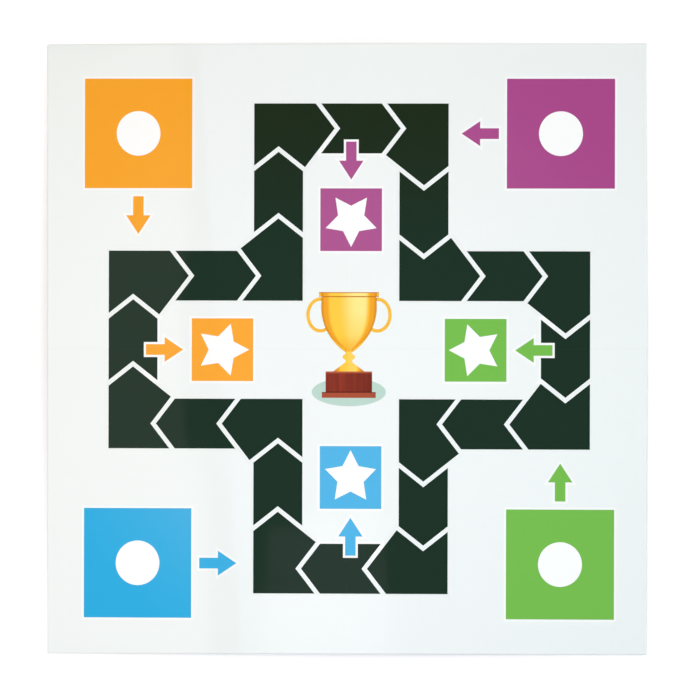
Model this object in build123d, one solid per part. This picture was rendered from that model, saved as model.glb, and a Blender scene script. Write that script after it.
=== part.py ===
from build123d import *
import os

# A four-panel folding game board, opened flat with its printed side up.
# Origin: middle of the board on the surface that it lies on. +X right, +Y to the rear, +Z up.

# Board and sheets, in millimetres
board_side = 400.0
core_thickness = 2.0
core_edge_radius = 0.4
face_thickness = 0.2
liner_thickness = 0.2
print_thickness = 0.05
turn_in_width = 15.0
liner_margin = 3.0

# Folds: width of the closed knife cuts, and of the paper strips that bend
knife_gap = 0.02
hinge_width = 1.0

# Register: the print's middle from the board's, its turn in degrees, and the cross's middle from the print's
print_shift_x = 1.8
print_shift_y = 0.2
print_turn = -0.14
cross_shift_x = 1.3
cross_shift_y = -0.9

# Track: one lane that runs clockwise round a cross of four arms
lane_inner = 32.2
lane_width = 32.7
track_margin = 39.3
chevron_reach = 12.7
tile_gap = 3.66
stroke_width = 1.45

# Lines between the tiles, from the arm's root or from its end; one end tile, in the right arm, is shorter
outbound_root = 10.4
outbound_end = 42.6
end_tile_start = 22.0
end_tile_length = 44.1
right_end_tile_length = 42.1
inbound_end = 42.7
inbound_root = 8.2

# Home squares, one in each corner, with a round spot and an arrow to the track
home_side = 71.9
home_margin = 23.05
spot_diameter = 29.3
start_arrow_gap = 5.35

# Finish squares, one in each arm, with a star and an arrow from the track
finish_side = 41.1
star_outer_radius = 17.9
star_inner_radius = 9.2
star_points = 5
finish_arrow_inset = 25.0
finish_arrow_gap = 5.85

# Arrows
arrow_length = 24.8
arrow_tail_width = 7.0
arrow_head_width = 16.3
arrow_head_length = 12.3

# Prize cup in the middle, upright on a plinth, over an oval
rim_y = 37.0
rim_width = 40.0
rim_height = 3.0
bowl_width = 36.0
bowl_bottom_y = -2.0
bowl_bottom_width = 6.0
bowl_belly_width = 30.0
bowl_belly_y = 12.0
handle_x = 19.0
handle_y = 22.0
handle_width = 19.0
handle_height = 23.0
handle_thickness = 2.2
stem_width = 4.6
knop_width = 8.4
knop_height = 4.6
foot_width = 21.0
foot_height = 6.0
plinth_top_y = -15.0
plinth_width = 31.0
plinth_height = 13.5
moulding_width = 36.0
moulding_height = 3.8
oval_width = 49.5
oval_height = 18.5
oval_y = -28.5

# Heights of the layers, from the liner's rim on the table up to the print
turn_in_bottom = liner_thickness
core_bottom = turn_in_bottom + face_thickness
core_top = core_bottom + core_thickness
face_top = core_top + face_thickness
print_top = face_top + print_thickness

# Widths of the layers
edge_radius = core_edge_radius + face_thickness
core_side = board_side - 2 * face_thickness
print_side = board_side - 2 * edge_radius
liner_side = board_side - 2 * liner_margin
window_side = board_side - 2 * turn_in_width

# Lane lines, from the cross's middle
lane_half = lane_width / 2
lane_outer = lane_inner + lane_width
lane_middle = lane_inner + lane_half

# Home squares and their arrows, from the print's middle
board_half = board_side / 2
home_offset = board_half - home_margin - home_side / 2
start_arrow_tail = home_offset - home_side / 2 - start_arrow_gap

# Middles of the print and of the cross on the board
print_place = Pos(print_shift_x, print_shift_y) * Rot(0, 0, print_turn)
cross_place = print_place * Pos(cross_shift_x, cross_shift_y)

# Each quarter turn clockwise leads from one arm to the next: rear, right, front and left
quarter_turn = -90
arm_reach = board_half - track_margin
arm_reaches = (
    arm_reach - cross_shift_y,
    arm_reach - cross_shift_x,
    arm_reach + cross_shift_y,
    arm_reach + cross_shift_x,
)
arm_colours = ("purple", "green", "blue", "orange")
end_tile_lengths = (end_tile_length, right_end_tile_length, end_tile_length, end_tile_length)
panels = {
    "rear_left": (-1, 1),
    "rear_right": (1, 1),
    "front_right": (1, -1),
    "front_left": (-1, -1),
}


def square_slab(side, low, high):
    """A square plate on the board's centre line."""
    return Pos(0, 0, low) * Box(side, side, high - low, align=(Align.CENTER, Align.CENTER, Align.MIN))


def block(low_corner, high_corner):
    """A box between two corners."""
    sizes = [high - low for low, high in zip(low_corner, high_corner)]
    return Pos(*low_corner) * Box(*sizes, align=Align.MIN)


def rounded_slab(side, low, high, radius):
    """A square plate with rounded upper and lower edges."""
    plate = square_slab(side, low, high)
    level_faces = plate.faces().filter_by(Axis.Z)
    return fillet(level_faces.edges(), radius)


def core_layer():
    """Greyboard of the whole board, before it is cut into panels."""
    return rounded_slab(core_side, core_bottom, core_top, core_edge_radius)


def face_layer():
    """Face sheet of the whole board: flat top, wrapped edges and turned-in margin, open at the back."""
    wrapped = rounded_slab(board_side, turn_in_bottom, print_top, edge_radius)
    print_bed = square_slab(print_side, face_top, print_top)
    back_window = square_slab(window_side, turn_in_bottom, core_bottom)
    return wrapped - core_layer() - print_bed - back_window


def liner_layer():
    """Back liner of the whole board: it steps up from the turned-in margin to the greyboard."""
    outer = square_slab(liner_side, 0, core_bottom)
    margin_room = square_slab(liner_side, turn_in_bottom, core_bottom)
    margin_room -= square_slab(window_side, turn_in_bottom, core_bottom)
    hollow = square_slab(window_side - 2 * liner_thickness, 0, core_bottom - liner_thickness)
    return outer - margin_room - hollow


def panel_cell(side_x, side_y):
    """The quarter of the board that one panel takes, clear of the knife cuts."""
    near = knife_gap / 2
    cell = block((near, near, 0), (board_side, board_side, print_top))
    if side_x < 0:
        cell = mirror(cell, about=Plane.YZ)
    if side_y < 0:
        cell = mirror(cell, about=Plane.XZ)
    return cell


def valley_strip(side_x):
    """Strip of the face sheet that joins a rear panel to the front one and bends with the print inside."""
    ends = sorted((side_x * knife_gap / 2, side_x * print_side / 2))
    low_corner = (ends[0], -hinge_width / 2, core_top)
    high_corner = (ends[1], hinge_width / 2, face_top)
    return block(low_corner, high_corner)


def mountain_room():
    """Space round the strip of liner that joins the two front panels and bends with the backs inside."""
    low_corner = (-hinge_width / 2, -board_side / 2, 0)
    high_corner = (hinge_width / 2, -knife_gap / 2, core_bottom)
    return block(low_corner, high_corner)


def turned(shape, turn):
    """A shape after some quarter turns clockwise."""
    return shape.rotate(Axis.Z, quarter_turn * turn)


def joined(shapes):
    """One sketch out of several."""
    return Sketch() + shapes


def polygon(points):
    """A filled outline through points given in order."""
    return make_face(Polyline(*points, close=True))


def lane_point(lane, along, across):
    """A point on a lane, by its distance along the travel and to the left of the middle."""
    middle, travel = lane
    left = Vector(-travel.Y, travel.X)
    return middle + travel * along + left * across


def chevron(lane, along):
    """Left end, tip and right end of the arrow-shaped line across a lane."""
    left = lane_point(lane, along, lane_half)
    tip = lane_point(lane, along + chevron_reach, 0)
    right = lane_point(lane, along, -lane_half)
    return left, tip, right


def meeting_point(start_a, through_a, start_b, through_b):
    """Where two straight lines cross."""
    run_a = through_a - start_a
    run_b = through_b - start_b
    offset_b = start_b - start_a
    share = offset_b.cross(run_b).Z / run_a.cross(run_b).Z
    return start_a + run_a * share


def straight_tile(trailing, leading):
    """A tile between two lines of the same lane."""
    return polygon([*trailing, *reversed(leading)])


def right_turn_tile(trailing, leading, outer_corner):
    """A tile at the end of an arm, whose lines run on inwards until they meet."""
    inner_corner = meeting_point(trailing[1], trailing[2], leading[1], leading[2])
    return polygon([trailing[0], trailing[1], inner_corner, leading[1], leading[0], outer_corner])


def left_turn_tile(trailing, leading, inner_corner):
    """A tile between two arms, whose lines run on outwards until they meet."""
    outer_corner = meeting_point(trailing[1], trailing[0], leading[1], leading[0])
    return polygon([outer_corner, trailing[1], trailing[2], inner_corner, leading[2], leading[1]])


def arm_tiles(reach, end_length, gap):
    """The six tiles from the rear arm's outbound lane to the next arm, with a gap along the lane.

    The inbound root is laid out from the print's middle, and the outbound root from the cross's.
    """
    outbound = (Vector(-lane_middle, 0), Vector(0, 1))
    end = (Vector(0, reach - lane_half), Vector(1, 0))
    inbound = (Vector(lane_middle, 0), Vector(0, -1))
    next_outbound = (Vector(0, lane_middle), Vector(1, 0))
    print_middle = arm_reach - reach
    marks = [
        (outbound, lane_outer + outbound_root),
        (outbound, reach - outbound_end),
        (end, -end_tile_start),
        (end, end_length - end_tile_start),
        (inbound, inbound_end - reach),
        (inbound, print_middle - lane_outer - inbound_root),
        (next_outbound, lane_outer + outbound_root),
    ]
    trailing = [chevron(lane, mark + gap / 2) for lane, mark in marks]
    leading = [chevron(lane, mark - gap / 2) for lane, mark in marks]
    return [
        straight_tile(trailing[0], leading[1]),
        right_turn_tile(trailing[1], leading[2], Vector(-lane_outer, reach)),
        straight_tile(trailing[2], leading[3]),
        right_turn_tile(trailing[3], leading[4], Vector(lane_outer, reach)),
        straight_tile(trailing[4], leading[5]),
        left_turn_tile(trailing[5], leading[6], Vector(lane_inner, lane_inner)),
    ]


def track(gap):
    """All the tiles of the track."""
    tiles = []
    for turn, (reach, end_length) in enumerate(zip(arm_reaches, end_tile_lengths)):
        tiles += [turned(tile, turn) for tile in arm_tiles(reach, end_length, gap)]
    return cross_place * joined(tiles)


def outlined(shape):
    """A shape grown by the white stroke round it."""
    return offset(shape, amount=stroke_width, kind=Kind.INTERSECTION)


def arrow():
    """An arrow that starts at the origin and points along +X."""
    neck = arrow_length - arrow_head_length
    half_outline = [
        (0, arrow_tail_width / 2),
        (neck, arrow_tail_width / 2),
        (neck, arrow_head_width / 2),
    ]
    other_half = [(x, -y) for x, y in reversed(half_outline)]
    return polygon([*half_outline, (arrow_length, 0), *other_half])


def star():
    """A star on the origin with one point along +X."""
    outline = []
    for step in range(2 * star_points):
        radius = star_inner_radius if step % 2 else star_outer_radius
        outline.append(Vector(radius, 0).rotate(Axis.Z, step * 180 / star_points))
    return polygon(outline)


def home_shapes(turn):
    """Square, arrow and spot of a corner, the rear left one at no turn."""
    square = Pos(-home_offset, home_offset) * Rectangle(home_side, home_side)
    start_arrow = Pos(-home_offset, start_arrow_tail) * Rot(0, 0, -90) * arrow()
    spot = Pos(-home_offset, home_offset) * Circle(spot_diameter / 2)
    return [print_place * turned(shape, turn) for shape in (square, start_arrow, spot)]


def finish_shapes(turn):
    """Square, arrow and star of an arm, the rear one at no turn."""
    tail_y = arm_reaches[turn] - finish_arrow_inset
    square_y = tail_y - arrow_length - finish_arrow_gap - finish_side / 2
    square = Pos(0, square_y) * Rectangle(finish_side, finish_side)
    finish_arrow = Pos(0, tail_y) * Rot(0, 0, -90) * arrow()
    finish_star = Pos(0, square_y) * Rot(0, 0, -90) * star()
    return [cross_place * turned(shape, turn) for shape in (square, finish_arrow, finish_star)]


def cup():
    """Front view of a plain two-handled cup with its stem and foot."""
    rim_bottom = rim_y - rim_height
    right_side = ThreePointArc(
        (bowl_width / 2, rim_bottom),
        (bowl_belly_width / 2, bowl_belly_y),
        (bowl_bottom_width / 2, bowl_bottom_y),
    )
    bottom = Line(right_side @ 1, (-bowl_bottom_width / 2, bowl_bottom_y))
    left_side = mirror(right_side, about=Plane.YZ)
    top = Line((-bowl_width / 2, rim_bottom), right_side @ 0)
    bowl = make_face(Curve() + [right_side, bottom, left_side, top])
    rim = Pos(0, rim_bottom) * Rectangle(rim_width, rim_height, align=(Align.CENTER, Align.MIN))
    stem_height = bowl_bottom_y - plinth_top_y
    stem = Pos(0, plinth_top_y) * Rectangle(stem_width, stem_height, align=(Align.CENTER, Align.MIN))
    knop_y = (bowl_bottom_y + plinth_top_y + foot_height) / 2
    knop = Pos(0, knop_y) * Ellipse(knop_width / 2, knop_height / 2)
    foot = polygon([
        (-foot_width / 2, plinth_top_y),
        (foot_width / 2, plinth_top_y),
        (stem_width / 2, plinth_top_y + foot_height),
        (-stem_width / 2, plinth_top_y + foot_height),
    ])
    return joined([bowl, rim, stem, knop, foot, *handles()])


def handles():
    """The cup's two ring handles."""
    ring = Ellipse(handle_width / 2, handle_height / 2)
    ring -= Ellipse(handle_width / 2 - handle_thickness, handle_height / 2 - handle_thickness)
    return [Pos(side * handle_x, handle_y) * ring for side in (-1, 1)]


def plinth():
    """Front view of the block and foot moulding under the cup."""
    hung = (Align.CENTER, Align.MAX)
    block_face = Pos(0, plinth_top_y) * Rectangle(plinth_width, plinth_height, align=hung)
    moulding_top = plinth_top_y - plinth_height
    moulding = Pos(0, moulding_top) * Rectangle(moulding_width, moulding_height, align=hung)
    return joined([block_face, moulding])


def print_areas():
    """Every colour of the print as one flat area, none over another."""
    cup_area = print_place * cup()
    plinth_area = print_place * plinth() - cup_area
    oval = print_place * Pos(0, oval_y) * Ellipse(oval_width / 2, oval_height / 2)
    oval_area = oval - plinth_area - cup_area
    picture = joined([cup_area, plinth_area, oval_area])
    homes = []
    finishes = []
    strokes = []
    for turn in range(len(arm_reaches)):
        square, start_arrow, spot = home_shapes(turn)
        homes.append(joined([square, start_arrow]) - spot)
        strokes += [outlined(square), outlined(start_arrow)]
        square, finish_arrow, finish_star = finish_shapes(turn)
        finishes.append(joined([square, finish_arrow]) - finish_star - picture)
        strokes += [outlined(square), outlined(finish_arrow)]
    outlines = joined(strokes)
    tiles = track(tile_gap) - outlines - picture
    stroked = outlined(track(0)) + outlines - picture
    white = stroked - tiles - homes - finishes
    ground = Rectangle(print_side, print_side) - stroked - picture
    areas = {"ground_print": ground, "track_print": tiles, "white_print": white}
    areas.update({f"finish_print_{colour}": area for colour, area in zip(arm_colours, finishes)})
    areas.update({"cup_print": cup_area, "plinth_print": plinth_area, "oval_print": oval_area})
    areas["home_print"] = joined(homes)
    return areas


def ink_layer(area):
    """One colour of the print, lying on the face sheet."""
    return Pos(0, 0, face_top) * extrude(area, amount=print_thickness)


def write_part(name, shape):
    """Writes one node, if there is anything of it."""
    if shape is not None and shape.solids():
        export_step(Part() + shape.solids(), f"parts/{name}.step")


os.makedirs("parts", exist_ok=True)

core = core_layer()
face = face_layer()
liner = liner_layer()
inks = {name: ink_layer(area) for name, area in print_areas().items()}
valley_strips = {"left": valley_strip(-1), "right": valley_strip(1)}
mountain_strip = liner & mountain_room()

for panel, (side_x, side_y) in panels.items():
    cell = panel_cell(side_x, side_y)
    write_part(f"core_board_{panel}", core & cell)
    write_part(f"face_sheet_{panel}", (face & cell) - list(valley_strips.values()))
    write_part(f"back_liner_{panel}", (liner & cell) - mountain_room())
    for name, ink in inks.items():
        write_part(f"{name}_{panel}", ink & cell)

for side, strip in valley_strips.items():
    write_part(f"{side}_fold_hinge", strip)
write_part("centre_fold_hinge", mountain_strip)
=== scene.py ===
"""Looks of the folding game board: its finishes, fold strips, studio light and camera."""
import math

import bmesh
import bpy
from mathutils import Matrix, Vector


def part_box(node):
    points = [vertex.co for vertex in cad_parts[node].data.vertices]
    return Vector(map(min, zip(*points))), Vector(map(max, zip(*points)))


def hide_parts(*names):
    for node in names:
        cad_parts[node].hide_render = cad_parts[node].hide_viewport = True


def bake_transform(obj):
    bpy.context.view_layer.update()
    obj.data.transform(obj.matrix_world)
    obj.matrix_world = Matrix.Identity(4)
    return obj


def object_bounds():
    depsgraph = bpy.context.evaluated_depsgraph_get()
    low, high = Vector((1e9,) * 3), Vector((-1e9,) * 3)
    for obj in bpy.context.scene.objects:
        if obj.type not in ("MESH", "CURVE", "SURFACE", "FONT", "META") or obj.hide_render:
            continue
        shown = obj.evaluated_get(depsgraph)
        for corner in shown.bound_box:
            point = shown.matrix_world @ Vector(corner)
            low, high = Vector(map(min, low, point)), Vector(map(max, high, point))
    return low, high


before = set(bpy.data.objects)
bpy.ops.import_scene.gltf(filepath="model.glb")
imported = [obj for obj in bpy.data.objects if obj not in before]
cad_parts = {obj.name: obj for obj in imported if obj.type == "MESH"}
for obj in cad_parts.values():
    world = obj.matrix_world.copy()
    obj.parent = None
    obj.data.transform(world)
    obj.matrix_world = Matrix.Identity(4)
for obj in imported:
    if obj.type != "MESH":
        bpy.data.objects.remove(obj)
cad_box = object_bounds()

MM = 0.001
MIDDLE = (0, 0, 0)
ALONG_X = Vector((1, 0, 0))
ALONG_Y = Vector((0, 1, 0))
DOWN = Vector((0, 0, -1))
WHITE = (1.0, 1.0, 1.0, 1.0)

# Part: ink of each panel's home square, and the finish of the nodes whose names start in the same way
HOME_INK = {"rear_left": "orange", "rear_right": "purple", "front_right": "green", "front_left": "blue"}
NODE_FINISH = {
    "core_board": "greyboard",
    "face_sheet": "wrapped_paper",
    "back_liner": "liner_paper",
    "ground_print": "ground_ink",
    "track_print": "track_ink",
    "white_print": "white_ink",
    "cup_print": "gold_ink",
    "plinth_print": "brown_ink",
    "oval_print": "pale_green_ink",
    **{f"home_print_{panel}": f"{colour}_ink" for panel, colour in HOME_INK.items()},
    **{f"finish_print_{colour}": f"{colour}_ink" for colour in HOME_INK.values()},
}

# Folds: direction across each, the panels on its two sides, and its paper
FOLDS = {
    "left_fold_hinge": (ALONG_Y, "front_left_panel", "rear_left_panel", "face_paper"),
    "right_fold_hinge": (ALONG_Y, "front_right_panel", "rear_right_panel", "face_paper"),
    "centre_fold_hinge": (ALONG_X, "front_left_panel", "front_right_panel", "liner_paper"),
}

# Fold strips: steps across the paper, distance within which points are joined, and its upper side's mark
STRIP_STEPS = 16
STRIP_JOIN = 0.001 * MM
UPPER_SIDE = "upper_side"

# Photograph: its frame in pixels, a pixel's size on the board, and the place that is in its middle
FRAME_PIXELS = 696
PIXEL = 0.6557 * MM
AIM = (0.7 * MM, 0.6 * MM, 0)

# Camera: its distance, its slant to the right, and the width of its sensor in millimetres
CAMERA_DISTANCE = 15.0
CAMERA_SLANT = math.radians(10.9)
SENSOR = 36.0

# Node that mixes two colours: numbers of its inputs and of its output
MIX_SHARE = 0
MIX_FIRST = 6
MIX_SECOND = 7
MIX_RESULT = 2

# Random patches: range in which nearly all of their values lie
PATCH_LOW = 0.3
PATCH_HIGH = 0.7

# Sheet on the greyboard: its panels' lean at the folds, slow waves along its grain, and the film's fine skin
LEAN = math.tan(math.radians(0.8))
WAVE_LENGTH = 48 * MM
WAVE_GRAIN = (1, 0.35, 1)
WAVE_HEIGHT = 0.45 * MM
SKIN_LENGTH = 1.6 * MM
SKIN_HEIGHT = 0.0006 * MM

# Clear film: its roughness, the share by which that varies, the length of its patches, and specular levels
FILM_ROUGHNESS = 0.055
FILM_CHANGE = 0.15
FILM_PATCH = 24 * MM
INK_SPECULAR = 0.15
OVAL_SPECULAR = 0.4
PALE_SPECULAR = 0.5

# Inks: length of the patches in their colours, and shares by which these vary
INK_PATCH = 9 * MM
INK_CHANGE = 0.012
GROUND_CHANGE = 0.006
TRACK_CHANGE = 0.05
LINE_CHANGE = 0.004
SPOT_CHANGE = 0.003

# Coloured inks: a painted sheen, paler towards the board's middle, that stands in for the film's reflection:
# distances from the middle between which the inks get full, and their paleness inside
PAINTED_SHEEN_INNER = 80 * MM
PAINTED_SHEEN_OUTER = 230 * MM
ORANGE_PAINTED_SHEEN = 0.02
PURPLE_PAINTED_SHEEN = 0.03
BLUE_PAINTED_SHEEN = 0.072

# Track: stretch towards the rear in which its green turns to olive, a painted tint that stands in for the
# warmer light there
OLIVE_START = 50 * MM
OLIVE_END = 160 * MM

# White print: shade of the lines, and reach of the white round the figures and from their squares' middles
LINE_SHADE = (238, 243, 241)
OUTLINE_REACH = 1.6 * MM
SPOT_REACH = 19 * MM

# Thin lines on cup and plinth: share of their half width that is full
LINE_CORE = 0.6

# Cup: its rim, with a line below it and one along the top, and its bowl, stem and foot
RIM_HEIGHT = 3 * MM
RIM_LINE_HALF = 0.45 * MM
TOP_LINE_START = 0.9 * MM
TOP_LINE_FULL = 0.3 * MM
BOWL_DEPTH = 39 * MM
BOWL_HALF_WIDTH = 18 * MM
BOWL_CURVE = 3.3
STEM_SHARE = 0.14
FOOT_HALF_WIDTH = 8 * MM
GOLD_PATCH = 6 * MM
HANDLE_PATCH = 5 * MM

# Shading across the cup, from and to, in half widths off its middle
GLOW_RISE = (-0.45, 0.3)
GLOW_FALL = (0.74, 0.6)
DEEP_EDGE = (0.66, 0.84)
DARK_EDGE = (0.92, 0.98)
HANDLE_START = 1.04

# Shading up the bowl, from and to, in shares of its height, and how strong the shading is
GLOW_UP = (0.1, 0.75)
DEEP_DOWN = (0.3, 0.0)
GLOW_LEAST = 0.25
DEEP_MOST = 0.7
DARK_MOST = 0.55

# Plinth: its grain, the shade on its right, the light edge along its top, and the moulding at its foot
GRAIN_LENGTH = 14 * MM
GRAIN_STRETCH = (5, 0.4, 1)
GRAIN_MOST = 0.5
SIDE_SHADE = 0.6
TOP_EDGE_START = 1.4 * MM
TOP_EDGE_FULL = 0.8 * MM
MOULDING_HEIGHT = 3.8 * MM
MOULDING_BLUR = 0.1 * MM
MOULDING_LIGHT = 0.7
MOULDING_LINE_HALF = 0.5 * MM

# Greyboard: patches, flecks and fibres of its pulp
PULP_PATCH = 3 * MM
FLECK_LENGTH = 0.7 * MM
FLECK_RANGE = (0.62, 0.72)
PULP_FIBRE_LENGTH = 0.4 * MM
PULP_FIBRE_STRETCH = (1, 1, 3)
PULP_FIBRE_HEIGHT = 0.06 * MM

# Back liner: patches in its colour and its roughness, worn spots, and the threads pressed into it
LINER_PATCH = 18 * MM
LINER_ROUGH_PATCH = 30 * MM
LINER_ROUGHNESS = (0.55, 0.75)
WEAR_LENGTH = 1.2 * MM
WEAR_RANGE = (0.58, 0.80)
WEAR_MOST = 0.35
LINEN_THREAD = 0.9 * MM
LINEN_DEPTH = 0.015 * MM

# Face sheet: patches and fibres in the folds, and the outer edge's bend, its height and the depth of the
# painted light on the bend
CREASE_PATCH = 2 * MM
PAPER_FIBRE_LENGTH = 0.5 * MM
PAPER_FIBRE_HEIGHT = 0.02 * MM
EDGE_BEND = 0.1 * MM
EDGE_TOP = cad_box[1][2] - EDGE_BEND
EDGE_LIGHT_DEPTH = 0.35 * MM
EDGE_LIGHT_PATCH = 4 * MM

# Studio: light from all round, and how high the white backdrop reaches
SKY_LEVEL = 0.285
BACKDROP_TOP = 0.35

# Floor: its size, gap below the board and colour, and how much whiter it looks within and beyond two radii
FLOOR_SIZE = 6.0
FLOOR_DROP = 0.02 * MM
FLOOR_COLOUR = (0.9, 0.9, 0.9, 1.0)
FLOOR_NEAR = 0.2
FLOOR_FAR = 0.35
FLOOR_LIFT_NEAR = 0.095
FLOOR_LIFT_FAR = 0.46

# Lamps overhead: half the side of each, their height, and each one's side, level and colour
OVER_HALF = 0.13
OVER_HEIGHT = 0.65
OVERHEAD = {
    "rear_left_box": (-1, 1, 3.35, (1, 0.79, 0.68)),
    "rear_right_box": (1, 1, 1.6, (0.95, 1, 0.85)),
    "front_left_box": (-1, -1, 2.25, (1, 0.85, 1)),
    "front_right_box": (1, -1, 4.35, (0.66, 0.87, 1)),
}

# Key lamp at the rear right, and long lamp at the front left
KEY_BOX = {
    "place": (2.75, 1.9, 1.7),
    "size": (1.6, 1.6),
    "level": 8.4,
    "colour": (1, 1, 0.97),
}
FRONT_STRIP = {
    "place": (-1.05, -1.05, 0.52),
    "size": (1.2, 0.5),
    "level": 3.9,
    "colour": (1, 1, 1),
}

# Lamps over the left and the front, which the film mirrors
MIRROR_TURN = math.radians(5)
LEFT_BOX = {
    "place": (-0.438, -0.03, 0.8),
    "size": (0.31, 0.42),
    "level": 1.0,
    "colour": (1, 0.93, 0.80),
    "turn": MIRROR_TURN,
}
FRONT_BOX = {
    "place": (-0.165, -0.16, 0.8),
    "size": (0.13, 0.13),
    "level": 0.95,
    "colour": (0.95, 0.9, 1),
    "turn": MIRROR_TURN,
}

# Narrow beam from above, whose straight edge falls on the left of the board
BEAM_BOX = {
    "place": (0.317, 0, 0.5),
    "size": (0.8, 0.8),
    "level": 0.046,
    "colour": (0.6, 0.65, 1),
    "turn": math.radians(4.2),
    "spread": math.radians(0.8),
}


def display(red, green, blue):
    """Linear colour of a display colour from 0 to 255."""
    shares = [value / 255 for value in (red, green, blue)]
    linear = [s / 12.92 if s <= 0.04045 else ((s + 0.055) / 1.055) ** 2.4 for s in shares]
    return (*linear, 1.0)


def tinted(colour, factor):
    """A colour made lighter or darker by a factor."""
    return (*[channel * factor for channel in colour[:3]], 1.0)


class Tree:
    """Nodes of a material or of the world, and the links between them."""

    def __init__(self, owner):
        owner.use_nodes = True
        self.nodes = owner.node_tree.nodes
        self.links = owner.node_tree.links

    def add(self, kind, inputs=None, **settings):
        """A new node, with its settings and with values or links on its inputs."""
        node = self.nodes.new(kind)
        for name, value in settings.items():
            setattr(node, name, value)
        for name, value in (inputs or {}).items():
            self.feed(node.inputs[name], value)
        return node

    def feed(self, socket, value):
        """Links a socket to an output, or sets its value."""
        if isinstance(value, bpy.types.NodeSocket):
            self.links.new(value, socket)
        else:
            socket.default_value = value

    def math(self, operation, *values):
        """The result of a sum, product or other operation on numbers."""
        node = self.add("ShaderNodeMath", operation=operation)
        for socket, value in zip(node.inputs, values):
            self.feed(socket, value)
        return node.outputs[0]

    def span(self, value, low, high, to_low=0.0, to_high=1.0, smooth=False):
        """A value's way from low to high, turned into the way between two others."""
        inputs = {"Value": value, "From Min": low, "From Max": high, "To Min": to_low, "To Max": to_high}
        kind = "SMOOTHSTEP" if smooth else "LINEAR"
        return self.add("ShaderNodeMapRange", inputs=inputs, interpolation_type=kind).outputs[0]

    def seen(self):
        """1 for rays from the camera, and for those that a mirror or glass sends on."""
        rays = self.add("ShaderNodeLightPath").outputs
        sent_on = self.math("MAXIMUM", rays["Is Glossy Ray"], rays["Is Transmission Ray"])
        return self.math("MAXIMUM", rays["Is Camera Ray"], sent_on)


class Finish(Tree):
    """A material in the making: its shader, and the place on a piece in the piece's own frame."""

    def __init__(self, name):
        self.material = bpy.data.materials.new(name)
        super().__init__(self.material)
        self.shader = self.nodes["Principled BSDF"]
        self.place = self.add("ShaderNodeTexCoord").outputs["Object"]
        split = self.add("ShaderNodeSeparateXYZ", inputs={"Vector": self.place})
        self.x, self.y, self.z = split.outputs

    def distance(self, point):
        """Distance from a point."""
        points = {0: self.place, 1: point}
        return self.add("ShaderNodeVectorMath", inputs=points, operation="DISTANCE").outputs["Value"]

    def noise(self, length, detail=2.0, stretch=(1, 1, 1)):
        """Smooth random values around a half, in patches of about a given length."""
        mapping = self.add("ShaderNodeMapping", inputs={"Vector": self.place, "Scale": stretch})
        inputs = {"Vector": mapping.outputs[0], "Scale": 1 / length, "Detail": detail}
        return self.add("ShaderNodeTexNoise", inputs=inputs).outputs[0]

    def mix(self, share, first, second):
        """A colour between two others."""
        node = self.add("ShaderNodeMix", data_type="RGBA")
        self.feed(node.inputs[MIX_SHARE], share)
        self.feed(node.inputs[MIX_FIRST], first)
        self.feed(node.inputs[MIX_SECOND], second)
        return node.outputs[MIX_RESULT]

    def mottled(self, colour, length, change, detail=2.0):
        """A colour that is a little darker and lighter in patches."""
        return self.mix(self.noise(length, detail), tinted(colour, 1 - change), tinted(colour, 1 + change))

    def bump(self, height):
        """Surface direction over a height in metres."""
        return self.add("ShaderNodeBump", inputs={"Distance": 1.0, "Height": height}).outputs[0]

    def dress(self, **values):
        """Sets the shader's own inputs, named with _ for a blank."""
        for name, value in values.items():
            self.feed(self.shader.inputs[name.replace("_", " ")], value)
        return self.material


def film_normal(finish):
    """The panel's lean, low at the valley folds and high at the mountain fold, with waves and skin."""
    off_valley = finish.math("ABSOLUTE", finish.y)
    off_mountain = finish.math("ABSOLUTE", finish.x)
    lean = finish.math("MULTIPLY", finish.math("SUBTRACT", off_valley, off_mountain), LEAN)
    waves = finish.math("MULTIPLY", finish.noise(WAVE_LENGTH, detail=1.0, stretch=WAVE_GRAIN), WAVE_HEIGHT)
    skin = finish.math("MULTIPLY", finish.noise(SKIN_LENGTH, detail=1.0), SKIN_HEIGHT)
    return finish.bump(finish.math("ADD", finish.math("ADD", waves, skin), lean))


def under_film(finish, colour, specular):
    """Finish of a print under clear film, whose gloss varies a little."""
    least = (1 - FILM_CHANGE) * FILM_ROUGHNESS
    most = (1 + FILM_CHANGE) * FILM_ROUGHNESS
    return finish.dress(
        Base_Color=colour,
        Roughness=finish.span(finish.noise(FILM_PATCH), PATCH_LOW, PATCH_HIGH, least, most),
        Specular_IOR_Level=specular,
        Normal=film_normal(finish),
    )


def ink(name, colour, specular=INK_SPECULAR, change=INK_CHANGE, painted_sheen=0.0):
    """A printed colour under clear film, which may be paler towards the middle of the board: a painted sheen
    that stands in for the film's reflection.
    """
    finish = Finish(name)
    printed = finish.mottled(colour, INK_PATCH, change)
    if painted_sheen:
        # Painted sheen: the ink pales towards the board's middle, in place of the film's reflection.
        pale = finish.span(finish.distance(MIDDLE), PAINTED_SHEEN_INNER, PAINTED_SHEEN_OUTER, painted_sheen, 0.0, smooth=True)
        printed = finish.mix(pale, printed, WHITE)
    return under_film(finish, printed, specular)


def track_ink():
    """Dark green of the track, which turns a little to olive at the rear: a painted tint that stands in for
    the warmer light there.
    """
    finish = Finish("track_ink")
    # Painted tint: olive towards the rear, in place of warmer light there.
    rear = finish.span(finish.y, OLIVE_START, OLIVE_END, smooth=True)
    green = finish.mottled(display(26, 48, 36), INK_PATCH, TRACK_CHANGE)
    olive = finish.mottled(display(27, 42, 24), INK_PATCH, TRACK_CHANGE)
    return under_film(finish, finish.mix(rear, green, olive), INK_SPECULAR)


def print_box(start):
    """Lowest and highest corner of a printed figure that is cut at the folds."""
    boxes = [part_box(name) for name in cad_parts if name.startswith(start)]
    low = [min(box[0][axis] for box in boxes) for axis in range(3)]
    high = [max(box[1][axis] for box in boxes) for axis in range(3)]
    return low, high


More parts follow.
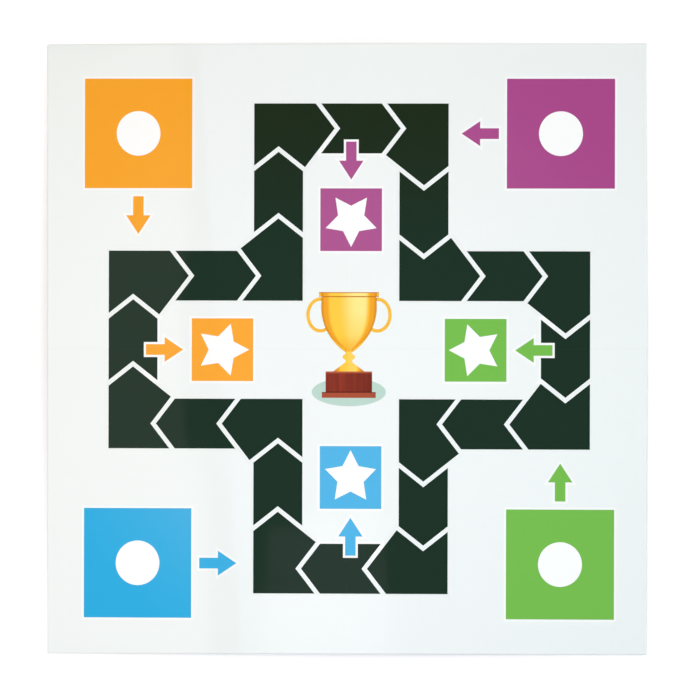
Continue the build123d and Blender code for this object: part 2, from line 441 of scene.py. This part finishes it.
def line_at(finish, value, place, half_width):
    """1 on a thin line where a value has a given place, 0 away from it."""
    off = finish.math("ABSOLUTE", finish.math("SUBTRACT", value, place))
    return finish.span(off, half_width, LINE_CORE * half_width)


def within(finish, low, high, margin):
    """1 inside a box on the board and a margin round it, 0 outside."""
    inside = 1.0
    for axis, value in enumerate((finish.x, finish.y)):
        middle = (low[axis] + high[axis]) / 2
        reach = (high[axis] - low[axis]) / 2 + margin
        off = finish.math("ABSOLUTE", finish.math("SUBTRACT", value, middle))
        inside = finish.math("MULTIPLY", finish.math("LESS_THAN", off, reach), inside)
    return inside


def square_middle(figure, arrow_outside):
    """Middle of a figure's square, which is as wide as the figure is narrow, with the arrow on one side."""
    low, high = print_box(figure)
    half_side = min(high[0] - low[0], high[1] - low[1]) / 2
    middle = []
    for axis in range(2):
        near, far = sorted((low[axis], high[axis]), key=abs)
        edge = near if arrow_outside else far
        middle.append(edge + half_side if edge == low[axis] else edge - half_side)
    return (*middle, high[2])


def white_ink():
    """Full white in spots and stars, less in outlines, and the ground's shade in the lines between tiles."""
    finish = Finish("white_ink")
    figures = {f"home_print_{panel}": False for panel in HOME_INK}
    figures.update({f"finish_print_{colour}": True for colour in HOME_INK.values()})
    outline = 0.0
    spot = 0.0
    for figure, arrow_outside in figures.items():
        outline = finish.math("MAXIMUM", within(finish, *print_box(figure), OUTLINE_REACH), outline)
        away = finish.distance(square_middle(figure, arrow_outside))
        spot = finish.math("MAXIMUM", finish.math("LESS_THAN", away, SPOT_REACH), spot)
    line = finish.mottled(display(*LINE_SHADE), INK_PATCH, LINE_CHANGE)
    colour = finish.mix(outline, line, display(248, 250, 249))
    colour = finish.mix(spot, colour, finish.mottled(display(253, 254, 253), INK_PATCH, SPOT_CHANGE))
    return under_film(finish, colour, PALE_SPECULAR)


def gold_ink():
    """Cup: broad light on the right of the bowl, deeper edges, a dark rim line, and round handles."""
    low, high = print_box("cup_print")
    middle = (low[0] + high[0]) / 2
    rim = high[1]
    finish = Finish("gold_ink")
    pale = display(255, 232, 142)
    gold = display(253, 202, 68)
    deep = display(240, 164, 40)
    dark = display(196, 122, 36)
    handle_gold = finish.mottled(display(246, 188, 62), HANDLE_PATCH, change=0.10)

    up_bowl = finish.span(finish.y, rim - BOWL_DEPTH, rim - RIM_HEIGHT)
    in_bowl = finish.math("GREATER_THAN", finish.y, rim - BOWL_DEPTH)
    down_bowl = finish.math("SUBTRACT", 1.0, up_bowl)
    bulge = finish.math("SUBTRACT", 1.0, finish.math("POWER", down_bowl, BOWL_CURVE))
    bowl_half = finish.math("MULTIPLY", finish.math("MAXIMUM", bulge, STEM_SHARE), BOWL_HALF_WIDTH)
    half = finish.span(in_bowl, 0.0, 1.0, FOOT_HALF_WIDTH, bowl_half)
    across = finish.math("DIVIDE", finish.math("SUBTRACT", finish.x, middle), half)
    away = finish.math("ABSOLUTE", across)

    glow_across = finish.math(
        "MULTIPLY",
        finish.span(across, *GLOW_RISE, smooth=True),
        finish.span(across, *GLOW_FALL, smooth=True),
    )
    glow = finish.math("MULTIPLY", glow_across, finish.span(up_bowl, *GLOW_UP, GLOW_LEAST, 1.0))
    colour = finish.mix(glow, finish.mottled(gold, GOLD_PATCH, change=0.02), pale)
    colour = finish.mix(finish.span(away, *DEEP_EDGE, smooth=True), colour, deep)
    low_bowl = finish.math("MULTIPLY", finish.span(up_bowl, *DEEP_DOWN, 0.0, DEEP_MOST), in_bowl)
    colour = finish.mix(low_bowl, colour, deep)
    colour = finish.mix(finish.span(away, *DARK_EDGE, 0.0, DARK_MOST), colour, dark)
    handle = finish.math("MULTIPLY", finish.math("GREATER_THAN", away, HANDLE_START), in_bowl)
    colour = finish.mix(handle, colour, handle_gold)
    colour = finish.mix(line_at(finish, finish.y, rim - RIM_HEIGHT, RIM_LINE_HALF), colour, dark)
    colour = finish.mix(finish.span(finish.y, rim - TOP_LINE_START, rim - TOP_LINE_FULL), colour, dark)
    return under_film(finish, colour, INK_SPECULAR)


def brown_ink():
    """Plinth: upright wood grain, darker to the right, with light upper edges on block and moulding."""
    low, high = print_box("plinth_print")
    middle = (low[0] + high[0]) / 2
    top = high[1]
    moulding = low[1] + MOULDING_HEIGHT
    finish = Finish("brown_ink")
    dark = display(92, 34, 26)
    brown = display(146, 56, 40)
    light = display(182, 90, 62)
    grain = finish.noise(GRAIN_LENGTH, detail=4.0, stretch=GRAIN_STRETCH)
    colour = finish.mix(finish.span(grain, PATCH_LOW, PATCH_HIGH, 0.0, GRAIN_MOST), brown, dark)
    facing = finish.span(finish.x, middle, high[0], smooth=True)
    colour = finish.mix(finish.math("MULTIPLY", facing, SIDE_SHADE), colour, dark)
    colour = finish.mix(finish.span(finish.y, top - TOP_EDGE_START, top - TOP_EDGE_FULL), colour, light)
    blur = (moulding + MOULDING_BLUR, moulding - MOULDING_BLUR)
    colour = finish.mix(finish.span(finish.y, *blur, 0.0, MOULDING_LIGHT), colour, light)
    colour = finish.mix(line_at(finish, finish.y, moulding, MOULDING_LINE_HALF), colour, dark)
    return under_film(finish, colour, INK_SPECULAR)


def greyboard():
    """Grey pulp board: flecks and fibres, rough where it is cut."""
    finish = Finish("greyboard")
    base = finish.mottled(display(164, 158, 148), PULP_PATCH, change=0.10, detail=4.0)
    fleck = finish.span(finish.noise(FLECK_LENGTH, detail=3.0), *FLECK_RANGE)
    colour = finish.mix(fleck, base, display(116, 110, 102))
    fibres = finish.noise(PULP_FIBRE_LENGTH, detail=3.0, stretch=PULP_FIBRE_STRETCH)
    height = finish.math("MULTIPLY", fibres, PULP_FIBRE_HEIGHT)
    return finish.dress(
        Base_Color=colour,
        Roughness=0.92,
        Specular_IOR_Level=0.2,
        Normal=finish.bump(height),
    )


def linen_height(finish):
    """Crossed threads pressed into a paper."""
    turns = 2 * math.pi / LINEN_THREAD
    across = finish.math("SINE", finish.math("MULTIPLY", finish.x, turns))
    along = finish.math("SINE", finish.math("MULTIPLY", finish.y, turns))
    return finish.math("MULTIPLY", finish.math("MAXIMUM", across, along), LINEN_DEPTH)


def liner_paper():
    """Back liner: dark paper with a pressed linen pattern and worn spots."""
    finish = Finish("liner_paper")
    base = finish.mottled(display(52, 54, 58), LINER_PATCH, change=0.10, detail=3.0)
    wear = finish.span(finish.noise(WEAR_LENGTH, detail=4.0), *WEAR_RANGE, 0.0, WEAR_MOST)
    return finish.dress(
        Base_Color=finish.mix(wear, base, display(96, 98, 101)),
        Roughness=finish.span(finish.noise(LINER_ROUGH_PATCH), PATCH_LOW, PATCH_HIGH, *LINER_ROUGHNESS),
        Specular_IOR_Level=0.35,
        Normal=finish.bump(linen_height(finish)),
    )


def face_paper():
    """Face sheet in the valley folds: white paper below, and above it a grey that is painted shade in the
    crease.
    """
    finish = Finish("face_paper")
    paper = finish.mottled(display(238, 238, 233), CREASE_PATCH, change=0.03, detail=4.0)
    # Painted shade: the upper side, which shows as the crease, is grey.
    painted_crease_shade = finish.mottled(display(112, 118, 114), CREASE_PATCH, change=0.10, detail=4.0)
    upper = finish.add("ShaderNodeAttribute", attribute_name=UPPER_SIDE).outputs["Fac"]
    height = finish.math("MULTIPLY", finish.noise(PAPER_FIBRE_LENGTH, detail=3.0), PAPER_FIBRE_HEIGHT)
    return finish.dress(
        Base_Color=finish.mix(upper, paper, painted_crease_shade),
        Roughness=0.7,
        Specular_IOR_Level=0.3,
        Normal=finish.bump(height),
    )


def wrapped_paper():
    """Printed face sheet where it is turned round the outer edge: painted paler there, as light that offsets
    the shade of the bend.
    """
    finish = Finish("wrapped_paper")
    painted_edge_light = finish.mottled(display(250, 251, 249), EDGE_LIGHT_PATCH, change=0.02, detail=3.0)
    # Painted light: the bend of the edge is paler, against its shade.
    edge_light_share = finish.span(finish.z, EDGE_TOP, EDGE_TOP - EDGE_LIGHT_DEPTH, smooth=True)
    return under_film(finish, finish.mix(edge_light_share, display(*LINE_SHADE), painted_edge_light), PALE_SPECULAR)


def all_finishes():
    """Every material of the part, by its name."""
    return {
        "greyboard": greyboard(),
        "face_paper": face_paper(),
        "liner_paper": liner_paper(),
        "wrapped_paper": wrapped_paper(),
        "ground_ink": ink("ground_ink", display(240, 245, 243), PALE_SPECULAR, GROUND_CHANGE),
        "track_ink": track_ink(),
        "white_ink": white_ink(),
        "orange_ink": ink("orange_ink", display(248, 165, 36), painted_sheen=ORANGE_PAINTED_SHEEN),
        "purple_ink": ink("purple_ink", display(168, 72, 137), painted_sheen=PURPLE_PAINTED_SHEEN),
        "green_ink": ink("green_ink", display(117, 187, 78)),
        "blue_ink": ink("blue_ink", display(36, 172, 224), painted_sheen=BLUE_PAINTED_SHEEN),
        "gold_ink": gold_ink(),
        "brown_ink": brown_ink(),
        "pale_green_ink": ink("pale_green_ink", display(187, 215, 203), OVAL_SPECULAR),
    }


def finish_of(node):
    """Name of the finish that a node of the part has."""
    return next(finish for start, finish in NODE_FINISH.items() if node.startswith(start))


def put_on(piece, material):
    """Gives a piece one material all over."""
    piece.data.materials.clear()
    piece.data.materials.append(material)


def fold_strip(node, across, material):
    """The paper of a fold, cut into steps across it, lying from one panel to the other."""
    low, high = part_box(node)
    middle = (low + high) / 2
    reach = across * (high - low).dot(across) / 2
    start = middle - reach
    end = middle + reach
    shape = bmesh.new()
    shape.from_mesh(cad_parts[node].data)
    bmesh.ops.remove_doubles(shape, verts=shape.verts, dist=STRIP_JOIN)
    for step in range(1, STRIP_STEPS):
        place = start.lerp(end, step / STRIP_STEPS)
        everything = shape.verts[:] + shape.edges[:] + shape.faces[:]
        bmesh.ops.bisect_plane(shape, geom=everything, plane_co=place, plane_no=across)
    name = node.replace("hinge", "strip")
    mesh = bpy.data.meshes.new(name)
    shape.to_mesh(mesh)
    shape.free()
    upper = mesh.attributes.new(UPPER_SIDE, "FLOAT", "POINT")
    for vertex, mark in zip(mesh.vertices, upper.data):
        mark.value = 1.0 if vertex.co.z > middle.z else 0.0
    strip = bpy.data.objects.new(name, mesh)
    bpy.context.scene.collection.objects.link(strip)
    put_on(strip, material)
    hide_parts(node)
    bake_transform(strip)


def dress_part(finishes):
    """Finishes on every node, and the strips of paper in the folds."""
    for name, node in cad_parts.items():
        if name not in FOLDS:
            put_on(node, finishes[finish_of(name)])
    for node, (across, body_a, body_b, slot) in FOLDS.items():
        fold_strip(node, across, finishes[slot])


def soft_box(name, place, size, level, colour, target=None, turn=0.0, spread=math.pi, mirrored=False):
    """A flat lamp out of the picture, which faces a target or straight down.

    At level 1 the lamp would look white, or white paper in its light if its spread is narrow.
    """
    width, length = size
    lamp = bpy.data.lights.new(name, "AREA")
    lamp.shape = "RECTANGLE"
    lamp.size = width
    lamp.size_y = length
    lamp.energy = level * math.pi * width * length
    lamp.color = colour
    lamp.spread = spread
    box = bpy.data.objects.new(name, lamp)
    box.location = place
    facing = Vector(target) - Vector(place) if target else DOWN
    box.rotation_euler = facing.to_track_quat("-Z", "Y").to_euler()
    box.rotation_euler.rotate_axis("Z", turn)
    box.visible_camera = False
    box.visible_glossy = mirrored
    bpy.context.scene.collection.objects.link(box)


def studio_light():
    """Four lamps overhead, a key, a long lamp at the front left, two that the film mirrors, and a beam."""
    side = 2 * OVER_HALF
    for name, (side_x, side_y, level, colour) in OVERHEAD.items():
        place = (side_x * OVER_HALF, side_y * OVER_HALF, OVER_HEIGHT)
        soft_box(name, place, (side, side), level, colour)
    soft_box("key_box", **KEY_BOX, target=MIDDLE)
    soft_box("front_strip", **FRONT_STRIP, target=MIDDLE)
    soft_box("left_box", **LEFT_BOX, mirrored=True)
    soft_box("beam_box", **BEAM_BOX)
    soft_box("front_box", **FRONT_BOX, mirrored=True)


def sky():
    """Dim light from all round; the backdrop at the horizon looks white."""
    world = bpy.data.worlds.new("studio")
    bpy.context.scene.world = world
    tree = Tree(world)
    direction = tree.add("ShaderNodeTexCoord").outputs["Generated"]
    height = tree.add("ShaderNodeSeparateXYZ", inputs={"Vector": direction}).outputs["Z"]
    backdrop = tree.span(height, BACKDROP_TOP, 1.0, 1.0, SKY_LEVEL)
    background = tree.nodes["Background"].inputs
    tree.feed(background["Color"], WHITE)
    tree.feed(background["Strength"], tree.span(tree.seen(), 0.0, 1.0, SKY_LEVEL, backdrop))


def floor():
    """White floor that stays white around the shadow."""
    bpy.ops.mesh.primitive_plane_add(size=FLOOR_SIZE, location=(0, 0, -FLOOR_DROP))
    plane = bpy.context.object
    plane.name = "floor"
    finish = Finish("floor_white")
    matt = finish.add("ShaderNodeBsdfDiffuse", inputs={"Color": FLOOR_COLOUR})
    level = finish.span(finish.distance(MIDDLE), FLOOR_NEAR, FLOOR_FAR, FLOOR_LIFT_NEAR, FLOOR_LIFT_FAR)
    lift = finish.math("MULTIPLY", finish.seen(), level)
    glow = finish.add("ShaderNodeEmission", inputs={"Strength": lift})
    both = finish.add("ShaderNodeAddShader", inputs={0: matt.outputs[0], 1: glow.outputs[0]})
    finish.feed(finish.nodes["Material Output"].inputs["Surface"], both.outputs[0])
    finish.nodes.remove(finish.shader)
    plane.data.materials.append(finish.material)


def camera():
    """The photograph's view: a long lens, nearly straight down."""
    lens = bpy.data.cameras.new("camera")
    lens.sensor_width = SENSOR
    lens.lens = SENSOR * CAMERA_DISTANCE / (FRAME_PIXELS * PIXEL)
    lens.clip_end = 2 * CAMERA_DISTANCE
    holder = bpy.data.objects.new("camera", lens)
    away = Vector((math.sin(CAMERA_SLANT), 0, math.cos(CAMERA_SLANT)))
    holder.location = Vector(AIM) + CAMERA_DISTANCE * away
    holder.rotation_euler = (0, CAMERA_SLANT, 0)
    bpy.context.scene.collection.objects.link(holder)
    bpy.context.scene.camera = holder


dress_part(all_finishes())
studio_light()
sky()
floor()
camera()
bpy.context.scene.view_settings.view_transform = "Standard"
